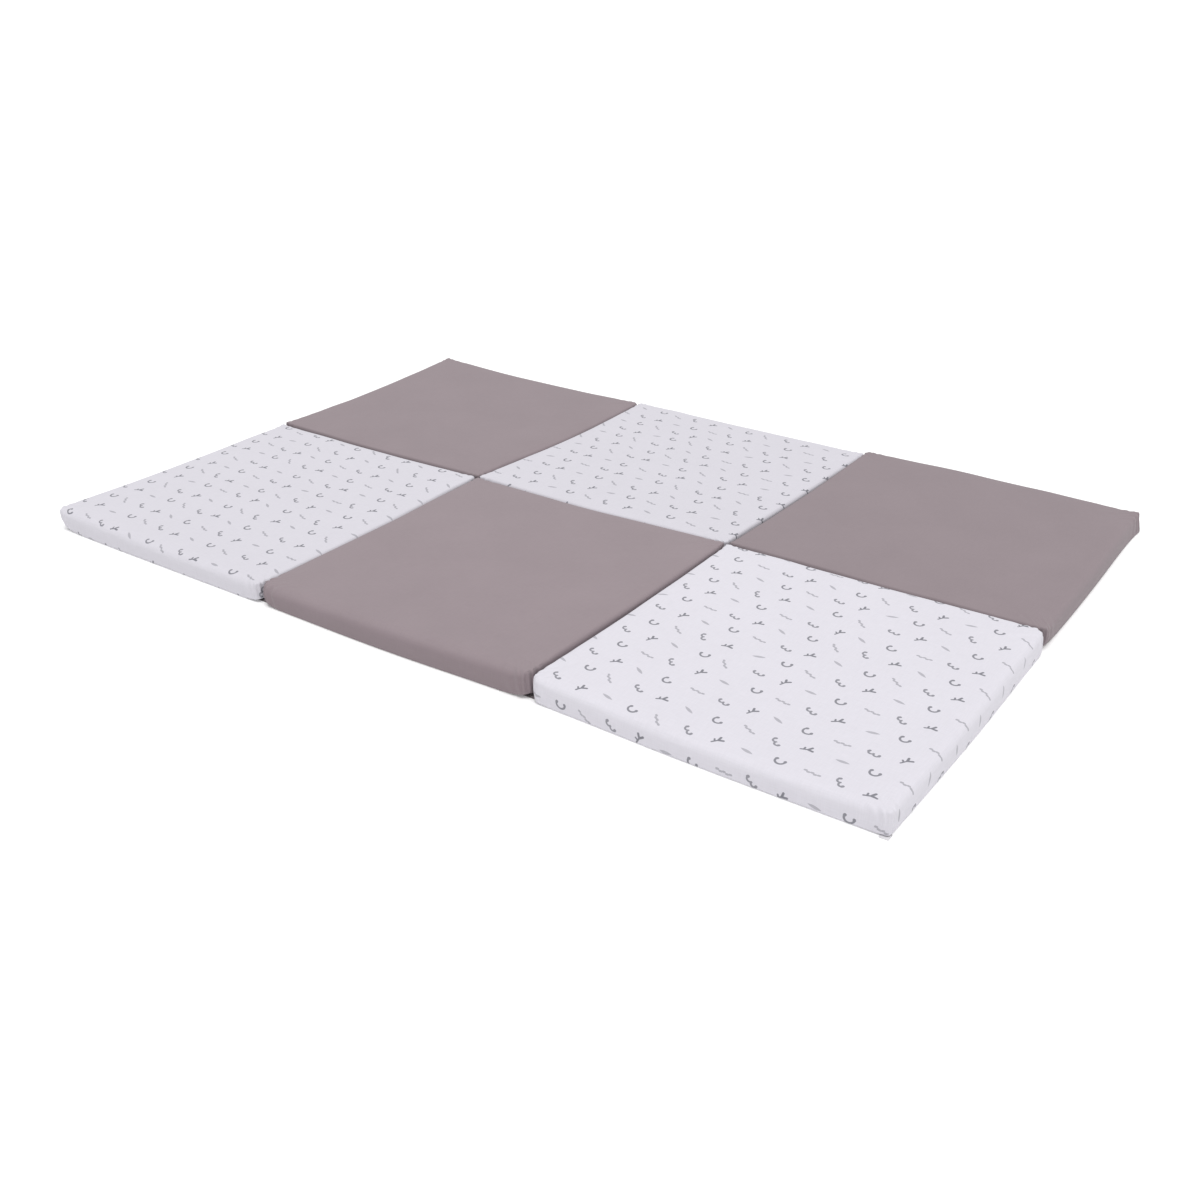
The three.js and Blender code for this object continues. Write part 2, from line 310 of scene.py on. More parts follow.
# %% Gathers, crinkles and the soft unevenness of foam
GATHER_HEIGHT = 1.2 * MM
GATHER_PITCH = 6.5 * MM  # next to the seam; further off they widen
GATHER_REACH = 30 * MM
GATHER_START = 3 * MM  # the seam holds them down over this much cloth
GATHER_ON_TOP = 14 * MM  # how far they run on over the top
GATHER_SWAY = 1.2  # how far they lean to and fro down the side, in radians of the wave
GATHER_SWAY_LONG = 11 * MM
SEAM_DEPTH = 1.2 * MM
SEAM_WIDTH = 2 * MM
SEAM_ON_TOP = 4 * MM
CRINKLE_HEIGHT = 0.7 * MM
CRINKLE_PITCH = 9 * MM
CRINKLE_LONG = 70 * MM
CRINKLE_REACH = 22 * MM
SWELL_HEIGHT = 0.8 * MM
SWELL_PITCH = 170 * MM
DIMPLE_HEIGHT = 0.25 * MM
DIMPLE_PITCH = 45 * MM


def noise_field(x, y, z):
    """Smooth noise from -1 to 1 at arrays of places."""
    places = np.stack(np.broadcast_arrays(x, y, z), -1)
    flat = [noise.noise(Vector(place)) for place in places.reshape(-1, 3)]
    return np.reshape(flat, places.shape[:-1])


def gathers(from_seam, past, phase):
    """Height of the puckered cloth beside a seam. "past" is how far it lies past the fold."""
    widening = 2 * np.log1p(from_seam / (2 * GATHER_PITCH))
    sway = GATHER_SWAY * np.sin(past / GATHER_SWAY_LONG + 2 * phase)
    wave = np.sin(2 * np.pi * widening + phase + sway)
    rise = 1 - np.exp(-from_seam / GATHER_START)
    on_top = np.exp(np.minimum(past, 0) / GATHER_ON_TOP)
    return GATHER_HEIGHT * wave * rise * on_top * np.exp(-from_seam / GATHER_REACH)


def seam_groove(from_seam, past):
    """The groove of a corner's seam, which soon ends on the top."""
    depth = np.exp(-((from_seam / SEAM_WIDTH) ** 2)) * np.exp(np.minimum(past, 0) / SEAM_ON_TOP)
    return -SEAM_DEPTH * depth


def crinkles(along, past, seed):
    """Faint ridges that run along the edges of the top."""
    ridge = noise_field(past / CRINKLE_PITCH, along / CRINKLE_LONG, seed * 1.37)
    return CRINKLE_HEIGHT * ridge * np.exp(-np.abs(past) / CRINKLE_REACH)


def uneven(x, y, z, seed):
    """Swells and dimples of the foam under the cloth, in metres."""
    swell = noise_field(x / SWELL_PITCH, y / SWELL_PITCH, 2 * z / SWELL_PITCH + seed * 2.3)
    dimple = noise_field(x / DIMPLE_PITCH, y / DIMPLE_PITCH, 2 * z / DIMPLE_PITCH - seed)
    return SWELL_HEIGHT * swell + DIMPLE_HEIGHT * dimple


# %% [markdown]
# Edges differ with what they meet. Where two pads meet, the top edge is tight. Along the mat's
# front and right side it is softer. The base cloth ends a little inside the mat's outer edges, so
# there the underside of a pad hangs down past it, to the floor.

# %% What differs from edge to edge
SAG_DEPTH = 2.15 * MM
SAG_REACH = 9.5 * MM  # the base cloth starts further in than this


def corner_values(values, x, y):
    """One of four values for each point, by the corner that it is nearest to."""
    front = np.where(x < 0, values[0], values[1])
    back = np.where(x < 0, values[3], values[2])
    return np.where(y < 0, front, back)


def inner_edges(pad):
    """The edges along which a pad meets another pad."""
    beside = {
        "left": pad["column"] > 0, "right": pad["column"] < COLUMNS - 1,
        "front": pad["row"] > 0, "back": pad["row"] < ROWS - 1,
    }
    return [edge for edge, has_neighbour in beside.items() if has_neighbour]


def beside_a_pad(pad, cloth_x, cloth_y, on_end):
    """Whether the side next to a point faces another pad."""
    inner = inner_edges(pad)
    end = np.where(cloth_x > 0, "right" in inner, "left" in inner)
    long_side = np.where(cloth_y > 0, "back" in inner, "front" in inner)
    return np.where(on_end, end, long_side)


def edge_round(pad, cloth_x, cloth_y, far, on_end):
    """The radius of the top edge that lies nearest to a point."""
    at_front = ~on_end & (cloth_y < 0) & (pad["row"] == 0)
    at_right = on_end & (cloth_x > 0) & (pad["column"] == COLUMNS - 1)
    full = np.where(at_front | at_right, pad["soft"] * MM, FOLD_ROUND)
    point = corner_values(pad["point"], cloth_x, cloth_y) * MM
    share = 1 - (1 - np.minimum(far / POINT_REACH, 1)) ** 2
    return point + (full - point) * share


def sag(pad, x, y):
    """How far the underside hangs down beyond the base cloth, at the mat's outer edges."""
    inner = inner_edges(pad)
    inwards = {"left": HALF_X + x, "right": HALF_X - x, "front": HALF_Y + y, "back": HALF_Y - y}
    nearest = np.minimum.reduce([far for edge, far in inwards.items() if edge not in inner])
    return SAG_DEPTH * np.clip(1 - nearest / SAG_REACH, 0, 1)


for name, pad in PADS.items():
    print(name, "meets other pads at:", ", ".join(inner_edges(pad)))

# %% [markdown]
# Now a pad can be made. Its cloth falls into six faces: the top, the bottom and four sides. A
# face is an array of points, and each point carries its place on the flat, unfolded cloth. That
# place becomes the UV map, in metres, so that a thread or a motif has its real size anywhere.
#
# One function gives the points of any face. It turns the cloth over the nearest edge, and then
# adds its own relief: gathers, the seam's groove, crinkles, ears and feet.

# %% Points of a cover
LEVEL_REACH = 80 * MM  # over this much cloth the top takes up the edges' different radii
EAR_WIDE = 6 * MM
EAR_DEEP = 8 * MM
FLARE_REACH = 50 * MM
FOOT_HOLD = 8 * MM  # over this much of the side the foot's seam holds the relief down
TOP_SHARE = 0.4  # so much of a side follows the top
BLEND_SHARE = 0.2  # over so much more of it, it blends over to follow the bottom
PHASE_OF_SIDE = 1.9  # so that the gathers of two sides or ends differ
PHASE_OF_END = 0.8
INNER_RISE = 0.6 * MM  # gathers stand out no further than this where a neighbour is 4 mm away


def shaped(pad, cloth_x, cloth_y, level, down):
    """Points of a pad, and how far down its side each lies. Cloth_x and cloth_y run over the
    cloth, level is "top", "side" or "bottom", and down is a share of the side's height."""
    near, far, on_end = by_nearest_edge(cloth_x, cloth_y, MIDDLE_X, MIDDLE_Y)
    along = np.where(on_end, cloth_y, cloth_x)
    corner_round, lift_most, ear, flare = (
        corner_values(pad[key], cloth_x, cloth_y) * MM for key in ("round", "lift", "ear", "flare")
    )
    strength = corner_values(pad["gather"], cloth_x, cloth_y)
    radius = edge_round(pad, cloth_x, cloth_y, far, on_end)
    side_number = np.where(on_end, 2, 0) + np.where(np.where(on_end, cloth_x, cloth_y) > 0, 1, 0)
    phase = pad["seed"] + PHASE_OF_SIDE * side_number + np.where(along > 0, PHASE_OF_END, 0)

    def relief(past):
        """Height of the cloth's own relief, for cloth that lies past the fold."""
        ridges = crinkles(along, past, pad["seed"] + side_number)
        return strength * gathers(far, past, phase) + seam_groove(far, past) + ridges

    def ring(inset):
        middle, half = (MIDDLE_X, MIDDLE_Y), (HALF_X, HALF_Y)
        return ring_points(cloth_x, cloth_y, inset, middle, half, corner_round)

    def top_at(x, y):
        u, v = x / HALF_X, y / HALF_Y
        crown = CROWN * np.clip(1 - u * u, 0, 1) * np.clip(1 - v * v, 0, 1)
        return rim_height(pad["rim"], u, v) + crown

    def bottom_at(x, y):
        to_corner = np.hypot(HALF_X - np.abs(x), HALF_Y - np.abs(y))
        lift = lift_most * np.maximum(0, 1 - to_corner / LIFT_REACH) ** 2
        return BASE_THICK + CLEARANCE + lift - sag(pad, x, y)

    def ear_at(from_seam, below):
        return ear * np.exp(-((from_seam / EAR_WIDE) ** 2)) * np.exp(-below / EAR_DEEP)

    if level == "top":
        inset, drop, angle = turn_over(-near, radius)
        spare = (radius - half_arc(radius)) - (FOLD_ROUND - half_arc(FOLD_ROUND))
        inset = inset - spare * np.minimum(near / LEVEL_REACH, 1)
        rise = relief(-near)
        x, y = ring(inset - rise * np.sin(angle))
        from_corner = np.hypot(MIDDLE_X - np.abs(cloth_x), MIDDLE_Y - np.abs(cloth_y))
        z = top_at(x, y) - drop + rise * np.cos(angle) + ear_at(from_corner, 0)
        return x, y, z, 0 * near
    if level == "bottom":
        inset, drop, _ = turn_over(-near, BOTTOM_ROUND)
        x, y = ring(inset - flare * np.exp(-(far + 3 * near) / FLARE_REACH))
        return x, y, bottom_at(x, y) + drop, 0 * near

    x, y = ring(0 * near)
    straight = top_at(x, y) - bottom_at(x, y) - radius - BOTTOM_ROUND
    length = straight + half_arc(radius) + half_arc(BOTTOM_ROUND)
    travelled = down * length
    inset_top, drop, angle = turn_over(travelled, radius)
    inset_bottom, lower_drop, _ = turn_over(length - travelled, BOTTOM_ROUND)
    bulge = SIDE_BULGE * np.sin(np.pi * down) ** 2
    foot = flare * np.exp(-far / FLARE_REACH) * down**2
    rise = relief(travelled) * np.clip((length - travelled) / FOOT_HOLD, 0, 1)
    inner = beside_a_pad(pad, cloth_x, cloth_y, on_end)
    rise = np.where(inner, np.minimum(rise, INNER_RISE), rise)
    x, y = ring(inset_top + inset_bottom - bulge - foot - rise * np.sin(angle))
    upper = top_at(x, y) - drop + rise * np.cos(angle) + ear_at(far, travelled)
    lower = bottom_at(x, y) + lower_drop
    share = np.clip((travelled / length - TOP_SHARE) / BLEND_SHARE, 0, 1)
    z = upper + (lower - upper) * share
    return x, y, z, travelled


# %% [markdown]
# Each face is woven from the grid of quads. The side faces turn round the pad, and their flat
# cloth continues the top's, so the pattern runs over the fold. The bottom is a cloth of its own,
# so its places lie well aside of the others'.

# %% The six faces of a cover
BOTTOM_ASIDE = 2


def cover_faces(pad):
    """The faces of a pad's cover as (points, cloth places) with rows and columns."""
    line_x, line_y = face_lines(MIDDLE_X), face_lines(MIDDLE_Y)
    down = np.linspace(0, 1, SIDE_STEPS + 1)
    faces = []
    for level, aside in (("top", 0), ("bottom", BOTTOM_ASIDE)):
        cx, cy = np.meshgrid(line_x, line_y)
        x, y, z, _ = shaped(pad, cx, cy, level, 0)
        if level == "bottom":
            cx, x, y, z, cy = (a[:, ::-1] for a in (cx, x, y, z, cy))
        faces.append((np.stack([x, y, z], -1), np.stack([cx + aside, cy], -1)))
    for turn in range(4):
        line = line_x if turn % 2 == 0 else line_y
        edge = (MIDDLE_Y, MIDDLE_X, MIDDLE_Y, MIDDLE_X)[turn]
        ahead = (1, 1, -1, -1)[turn]
        c, d = np.meshgrid(line * ahead, down[::-1])
        out = (-1, 1, 1, -1)[turn] * edge * np.ones_like(c)
        cx, cy = (c, out) if turn % 2 == 0 else (out, c)
        x, y, z, travelled = shaped(pad, cx, cy, "side", d)
        away = np.sign(out) * travelled
        place = (cx, cy + away) if turn % 2 == 0 else (cx + away, cy)
        faces.append((np.stack([x, y, z], -1), np.stack(place, -1)))
    return faces


# %% [markdown]
# The faces are joined into one closed mesh. Points that two faces share are welded, and the UV
# map stays with the faces, so the cloth can be cut at the seams and the mesh is still whole.


# %% From arrays of points to one closed mesh
WELD = 0.01 * MM


def mesh_from_faces(name, faces):
    """One closed mesh from faces of (points, cloth places), with the UV map "cloth"."""
    points, quads, places = [], [], []
    for face_points, face_places in faces:
        rows, columns = face_points.shape[:2]
        index = np.arange(rows * columns).reshape(rows, columns) + len(points)
        quad = np.stack([index[:-1, :-1], index[:-1, 1:], index[1:, 1:], index[1:, :-1]], -1)
        quads.extend(quad.reshape(-1, 4).tolist())
        points.extend(face_points.reshape(-1, 3).tolist())
        places.extend(face_places.reshape(-1, 2).tolist())
    mesh = bpy.data.meshes.new(name)
    mesh.from_pydata(points, [], quads)
    layer = mesh.uv_layers.new(name="cloth")
    corners = np.array(quads).ravel()
    layer.uv.foreach_set("vector", np.array(places)[corners].astype(np.float32).ravel())
    work = bmesh.new()
    work.from_mesh(mesh)
    bmesh.ops.remove_doubles(work, verts=work.verts, dist=WELD)
    work.to_mesh(mesh)
    work.free()
    mesh.shade_smooth()
    return mesh


# %% [markdown]
# The functions above work on the straight grid, around the middle of a pad. The base cloth is
# made by the same functions. The solid model's origin is the middle of its footprint, which lies
# a few millimetres off the grid's middle, because the outer lines wander.


# %% The outline of the base cloth
BASE_INSET = 12 * MM
BASE_CORNER = 4 * MM
BASE_HALF_X = -MAT_LEFT - BASE_INSET
BASE_HALF_Y = -MAT_FRONT - BASE_INSET


def base_grid():
    """Points of the base cloth, seen from above, and their places on the flat cloth."""
    cx, cy = np.meshgrid(face_lines(BASE_HALF_X), face_lines(BASE_HALF_Y))
    half = BASE_HALF_X, BASE_HALF_Y
    inset, _, _ = by_nearest_edge(cx, cy, *half)
    x, y = ring_points(cx, cy, inset, half, half, BASE_CORNER)
    column = np.clip(np.floor((x - MAT_LEFT) / PAD_ALONG), 0, COLUMNS - 1)
    row = np.clip(np.floor((y - MAT_FRONT) / PAD_DEEP), 0, ROWS - 1)
    wx, wy = wandered(x, y, column, row)
    return wx, wy, x, y


SHIFT = np.array([7.3002, -1.2405]) * MM  # of the grid's middle from the frame's origin
base_x, base_y, flat_x, flat_y = base_grid()
base_low = SHIFT + (base_x.min(), base_y.min())
base_high = SHIFT + (base_x.max(), base_y.max())
over = past_solid(base_low, base_high, *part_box("base_cloth"))
print("base cloth, past its solid by, mm:", over)

# %% [markdown]
# Each pad is made in place. The wandering of the grid and the foam's unevenness come last. The
# unevenness only raises or lowers the top, because the bottom lies flat on the base cloth.


# %% Making the pads
FLAT_BELOW = 12 * MM
FLAT_BLEND = 20 * MM


def placed(points, pad):
    """Points of a pad around its own middle, carried to their place on the mat."""
    x, y, z = points[..., 0], points[..., 1], points[..., 2]
    height = np.clip((z - FLAT_BELOW) / FLAT_BLEND, 0, 1)
    z = z + uneven(x, y, z, pad["seed"]) * height
    grid_x = MAT_LEFT + (pad["column"] + 0.5) * PAD_ALONG + x
    grid_y = MAT_FRONT + (pad["row"] + 0.5) * PAD_DEEP + y
    wx, wy = wandered(grid_x, grid_y, pad["column"], pad["row"])
    return np.stack([wx + SHIFT[0], wy + SHIFT[1], z], -1)


def make_pad(name, pad):
    """A pad's cover as a piece of the scene."""
    faces = [(placed(points, pad), places) for points, places in cover_faces(pad)]
    return in_scene(name + "_cover", mesh_from_faces(name, faces))


covers = {name: make_pad(name, pad) for name, pad in PADS.items()}
for name, piece in covers.items():
    at = np.array([v.co for v in piece.data.vertices])
    over = past_solid(at.min(0), at.max(0), *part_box(name))
    print(name, len(piece.data.polygons), "quads, past its solid by, mm:", over)

# %% [markdown]
# Cloth simulation then lets the cover live a little. The cover is pumped up by a gentle pressure
# and is cut a touch too large, so it tightens over the edges and breaks into soft folds where the
# seams hold it. The bottom is pinned, because it is sewn to the base cloth. A simulation can run
# away, so no point may move further than a small limit, and sideways, where the next pad is in
# the way, only a quarter of that.

# %% Letting the covers settle
SETTLE_FRAMES = 16
SETTLE_LIMIT = 1.6 * MM
SIDEWAYS = 0.25
FREE_ABOVE = 14 * MM  # of the floor
HELD_BLEND = 8 * MM  # below that height, the cloth is held more and more over this much
COTTON = dict(
    quality=4, mass=0.2, tension_stiffness=30, compression_stiffness=20, shear_stiffness=8,
    bending_stiffness=0.6, use_pressure=True, uniform_pressure_force=0.6,
    shrink_min=-0.004,  # less than none, so this share of cloth too much
)


def settle(piece):
    """Runs Blender's cloth on a cover and keeps the result, within the limit."""
    mesh = piece.data
    start = np.array([v.co for v in mesh.vertices])
    held = piece.vertex_groups.new(name="held")
    for vertex in mesh.vertices:
        weight = float(np.clip((FREE_ABOVE - vertex.co.z) / HELD_BLEND, 0, 1))
        if weight > 0:
            held.add([vertex.index], weight, "REPLACE")
    cloth = piece.modifiers.new("settle", "CLOTH")
    for setting, value in COTTON.items():
        setattr(cloth.settings, setting, value)
    cloth.settings.vertex_group_mass = "held"
    cloth.settings.effector_weights.gravity = 0
    cloth.collision_settings.use_collision = False
    cloth.point_cache.frame_start = 1
    cloth.point_cache.frame_end = SETTLE_FRAMES
    for step in range(1, SETTLE_FRAMES + 1):
        bpy.context.scene.frame_set(step)
    graph = bpy.context.evaluated_depsgraph_get()
    moved = np.array([v.co for v in piece.evaluated_get(graph).data.vertices]) - start
    piece.modifiers.remove(cloth)
    bpy.context.scene.frame_set(1)
    length = np.linalg.norm(moved, axis=1, keepdims=True)
    kept = moved * SETTLE_LIMIT / np.maximum(length + SETTLE_LIMIT, 1e-9)
    kept[:, :2] *= SIDEWAYS
    mesh.vertices.foreach_set("co", (start + kept).astype(np.float32).ravel())
    mesh.update()
    piece.vertex_groups.clear()
    return float(length.max()), float(np.linalg.norm(kept, axis=1).max())


for name, piece in covers.items():
    wanted, kept = settle(piece)
    print(name, "wanted to move, mm:", round(wanted / MM, 1), "moved:", round(kept / MM, 2))

# %% [markdown]
# One level of subdivision rounds the quads off, for a smooth outline up close.

# %% A smooth surface
for piece in covers.values():
    rounded = piece.modifiers.new("rounded", "SUBSURF")
    rounded.levels = 1
    rounded.render_levels = 1
    rounded.uv_smooth = "NONE"

# %% [markdown]
# The base cloth is a thin sheet under the pads, flat on the floor. It could be a plane with a
# thickness added, but its rim shows at the front, so the top is a little rounded towards the rim
# and the two layers are closed by a narrow band.

# %% Making the base cloth
BASE_PLAY = 0.1 * MM  # the cloth is thinner than its solid by this much
RIM_DROP = 1.1 * MM
RIM_REACH = 3 * MM
LOWER_ASIDE = 3  # the lower layer's places lie this far aside of the upper layer's


def make_base():
    """The base cloth as a piece of the scene: two layers and the band between them."""
    edge = np.minimum(BASE_HALF_X - np.abs(flat_x), BASE_HALF_Y - np.abs(flat_y))
    z = BASE_THICK - BASE_PLAY - RIM_DROP * np.exp(-edge / RIM_REACH)
    x, y = base_x + SHIFT[0], base_y + SHIFT[1]
    upper = np.stack([x, y, z], -1)
    lower = np.stack([x, y, 0 * z], -1)
    flat = np.stack([flat_x, flat_y], -1)
    faces = [(upper, flat), (lower[:, ::-1], flat[:, ::-1] + [LOWER_ASIDE, 0])]
    for pick in (lambda a: a[0], lambda a: a[:, -1], lambda a: a[-1, ::-1], lambda a: a[::-1, 0]):
        band = np.stack([pick(lower), pick(upper)])
        faces.append((band, np.stack([pick(flat), pick(flat)])))
    return in_scene("base_cloth_sheet", mesh_from_faces("base_cloth_sheet", faces))


base = make_base()
print("base cloth:", len(base.data.polygons), "quads")

# %% [markdown]
# The tab is a scrap of white tape, folded in half and sewn in by its two ends, so its outer end
# is a round fold. It is left blank. A profile of the folded tape is drawn from the side, and then
# it is swept across the tape's width.

# %% Making the folded tab
TAB_THICK = 0.35 * MM
TAB_FACES = 10  # across the tape
TAB_TURNS = 9  # points round the fold


def make_tab():
    """The folded tape as a piece of the scene, with the width and length of the flat tape."""
    low, high = (np.array(c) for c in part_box("label_tab"))
    width, _, height = high - low
    radius = (height - TAB_THICK) / 2
    turn = np.linspace(-np.pi / 2, np.pi / 2, TAB_TURNS)
    middle = height / 2
    fold_y = low[1] + TAB_THICK / 2 + radius
    path = [(high[1], middle - radius)]
    path += [(fold_y - radius * math.cos(a), middle + radius * math.sin(a)) for a in turn]
    path += [(high[1], middle + radius)]
    path = np.array(path)
    step = np.gradient(path, axis=0)
    side = np.stack([step[:, 1], -step[:, 0]], -1) / np.linalg.norm(step, axis=1)[:, None]
    loop = np.concatenate([path + side * TAB_THICK / 2, (path - side * TAB_THICK / 2)[::-1]])
    loop = np.concatenate([loop, loop[:1]])
    run = np.concatenate([[0], np.cumsum(np.linalg.norm(np.diff(loop, axis=0), axis=1))])
    across = np.linspace(low[0], high[0], TAB_FACES + 1)
    points = np.array([[(x, y, z) for x in across] for y, z in loop])
    places = np.array([[(x, r) for x in across] for r in run])
    faces = [(points, places)]
    count = len(path)
    for edge, order in ((0, 1), (-1, -1)):
        strip = np.stack([points[:count, edge], points[count:2 * count, edge][::-1]])
        strip_places = np.stack([places[:count, edge], places[count:2 * count, edge][::-1]])
        faces.append((strip[::order], strip_places[::order]))
    piece = in_scene("folded_tab", mesh_from_faces("folded_tab", faces))
    work = bmesh.new()
    work.from_mesh(piece.data)
    bmesh.ops.recalc_face_normals(work, faces=work.faces)
    work.to_mesh(piece.data)
    work.free()
    return piece, float(width), float(run[-1] / 2)


tab, tab_width, tab_length = make_tab()
print("tab tape, mm:", round(tab_width / MM, 1), "by", round(tab_length / MM, 1))

# %% [markdown]
# Materials are written as formulas. A small class wraps a socket, and its operators add the Math
# nodes, so a pattern reads like arithmetic. Every other node comes from one method.


# %% A socket that can be calculated with
class Field:
    """A number, vector or colour that changes over a surface."""

    def __init__(self, finish, socket):
        self.finish = finish
        self.socket = socket

    def math(self, operation, *others):
        inputs = dict(enumerate((self, *others)))
        return self.finish.node("ShaderNodeMath", {"operation": operation}, inputs)

    def __add__(self, other):
        return self.math("ADD", other)

    def __mul__(self, other):
        return self.math("MULTIPLY", other)

    __radd__ = __add__
    __rmul__ = __mul__

    def __sub__(self, other):
        return self.math("SUBTRACT", other)

    def __rsub__(self, other):
        return self.finish.node("ShaderNodeMath", {"operation": "SUBTRACT"}, {0: other, 1: self})

    def __truediv__(self, other):
        return self.math("DIVIDE", other)


class Finish:
    """A material with one Principled shader, and the nodes that lead to it."""

    def __init__(self, name, **uniform):
        self.material = bpy.data.materials.new(name)
        self.material.use_nodes = True
        self.nodes = self.material.node_tree.nodes
        self.links = self.material.node_tree.links
        self.shader = self.nodes["Principled BSDF"]
        for socket, value in uniform.items():
            self.shader.inputs[socket.replace("_", " ")].default_value = value

    def node(self, kind, settings=None, inputs=None, output=0):
        """Adds a node: its settings first, then its sockets' values or links."""
        node = self.nodes.new(kind)
        for setting, value in (settings or {}).items():
            setattr(node, setting, value)
        for socket, value in (inputs or {}).items():
            if isinstance(value, Field):
                self.links.new(value.socket, node.inputs[socket])
            else:
                node.inputs[socket].default_value = value
        return Field(self, node.outputs[output])

    def vector(self, operation, first, second=(0, 0, 0), output=0):
        return self.node(
            "ShaderNodeVectorMath", {"operation": operation}, {0: first, 1: second}, output
        )

    def scaled(self, vector, share):
        """A vector or a colour, made longer or brighter."""
        return self.node(
            "ShaderNodeVectorMath", {"operation": "SCALE"}, {0: vector, "Scale": share}
        )

    def mix(self, factor, first, second):
        """A colour between two colours."""
        first, second = ((*c, 1) if isinstance(c, tuple) else c for c in (first, second))
        return self.node(
            "ShaderNodeMix", {"data_type": "RGBA"}, {0: factor, 6: first, 7: second}, 2
        )

    def step(self, value, low, high):
        """0 below low, 1 above high and a soft step between. Low may lie above high."""
        inputs = {"Value": value, "From Min": low, "From Max": high}
        return self.node("ShaderNodeMapRange", {"interpolation_type": "SMOOTHSTEP"}, inputs)

    def noise(self, place, scale, detail, stretch=(1, 1, 1)):
        """Soft noise around 0.5, with features of about 1 / scale."""
        wide = self.vector("MULTIPLY", place, stretch)
        inputs = {"Vector": wide, "Scale": scale, "Detail": detail}
        return self.node("ShaderNodeTexNoise", {"noise_dimensions": "3D"}, inputs)

    def feed(self, socket, field):
        self.links.new(field.socket, self.shader.inputs[socket])


def together(operation, fields):
    """One field from many: the MINIMUM or the MAXIMUM of them all."""
    found = fields[0]
    for field in fields[1:]:
        found = found.math(operation, field)
    return found


# %% [markdown]
# Plain woven cotton is the ground of every cover. Warp and weft pass over and under each other,
# so the relief is a product of two waves, and threads vary in thickness, which noise stretched
# along each direction gives. Colour varies much less than relief on a new cover.

# %% Woven cotton
THREAD_PITCH = 0.7 * MM
SLUB_SCALE = 90
SLUB_THIN, SLUB_LONG = 6, 0.5  # the noise is squeezed across a thread and stretched along it
CRUMPLE_SCALE = 38
WEAVE_DEPTH = 0.06 * MM
THREAD_RELIEF, SLUB_RELIEF, CRUMPLE_RELIEF = 0.5, 0.8, 1.5  # of the weave's depth


def cloth_place(finish):
    return finish.node("ShaderNodeUVMap", {"uv_map": "cloth"})


def split(finish, place):
    """The x and y of a place."""
    node = finish.node("ShaderNodeSeparateXYZ", inputs={0: place})
    parts = node.socket.node.outputs
    return Field(finish, parts[0]), Field(finish, parts[1])


def weave(finish, place):
    """Relief of a plain weave, from 0 to 1, and its slubs, around 0."""
    x, y = split(finish, place)
    across = (x * (math.pi / THREAD_PITCH)).math("SINE")
    along = (y * (math.pi / THREAD_PITCH)).math("SINE")
    threads = across * along * 0.5 + 0.5
    slub_warp = finish.noise(place, SLUB_SCALE, 2, (SLUB_THIN, SLUB_LONG, 1)) - 0.5
    slub_weft = finish.noise(place, SLUB_SCALE, 2, (SLUB_LONG, SLUB_THIN, 1)) - 0.5
    return threads, slub_warp + slub_weft


def soft_relief(finish, place, threads, slubs):
    """The bump of woven cloth, for the shader's normal."""
    crumple = finish.noise(place, CRUMPLE_SCALE, 3)
    height = threads * THREAD_RELIEF + slubs * SLUB_RELIEF + crumple * CRUMPLE_RELIEF
    inputs = {"Strength": 0.5, "Distance": WEAVE_DEPTH, "Height": height}
    finish.feed("Normal", finish.node("ShaderNodeBump", {}, inputs))


def woven(name, **uniform):
    """A finish of woven cotton with its relief, and its place, threads and slubs."""
    finish = Finish(name, **uniform)
    place = cloth_place(finish)
    threads, slubs = weave(finish, place)
    soft_relief(finish, place, threads, slubs)
    return finish, place, threads, slubs


# %% [markdown]
# The print is a scatter of small motifs: a sprig, a leaf, a crescent, a row of dots and a
# ripple. One way would be to model each motif and stamp it. It is lighter to work out, for any
# point of the cloth, the cell that it lies in, which motif that cell holds, and how far the point
# is from the motif's strokes. All the motifs are drawn by that distance.

# %% The print
CELL = 48 * MM
JOLT = 9 * MM  # from side to side of a cell, how far chance moves its motif
INK_EDGE = 0.4 * MM
MOTIF_SIZE = 0.85  # of the sizes drawn below, which are in millimetres
KINDS = 5
KINDS_PER_ROW = 2  # how many kinds a row starts further on than the row before it
TURN_OF_KIND = 3.3  # radians
TURN_BY_CHANCE = 0.9


def stroke(finish, place, start, end, half_width):
    """Distance to a straight stroke with round ends, less its half width."""
    start, end = np.array(start, float) * MM, np.array(end, float) * MM
    run = end - start
    from_start = finish.vector("SUBTRACT", place, (*start, 0))
    share = finish.vector("DOT_PRODUCT", from_start, (*(run / (run @ run)), 0), 1)
    share = share.math("MAXIMUM", 0).math("MINIMUM", 1)
    nearest = finish.scaled((*run, 0), share)
    apart = finish.vector("SUBTRACT", from_start, nearest)
    return finish.vector("LENGTH", apart, output=1) - half_width * MM


def ring_stroke(finish, place, centre, radius, half_width, open_above):
    """Distance to the part of a circle that lies below a level, less its half width."""
    from_centre = finish.vector("SUBTRACT", place, (centre[0] * MM, centre[1] * MM, 0))
    _, y = split(finish, from_centre)
    ring = (finish.vector("LENGTH", from_centre, output=1) - radius * MM).math("ABSOLUTE")
    return (ring - half_width * MM).math("MAXIMUM", y - open_above * MM)


def lens(finish, place, half_length, half_width):
    """Distance to a leaf between two arcs, pointed at both ends."""
    radius = (half_length**2 + half_width**2) / (2 * half_width)
    sides = []
    for sign in (-1, 1):
        centre = (0, sign * (radius - half_width) * MM, 0)
        away = finish.vector("SUBTRACT", place, centre)
        sides.append(finish.vector("LENGTH", away, output=1) - radius * MM)
    return together("MAXIMUM", sides)


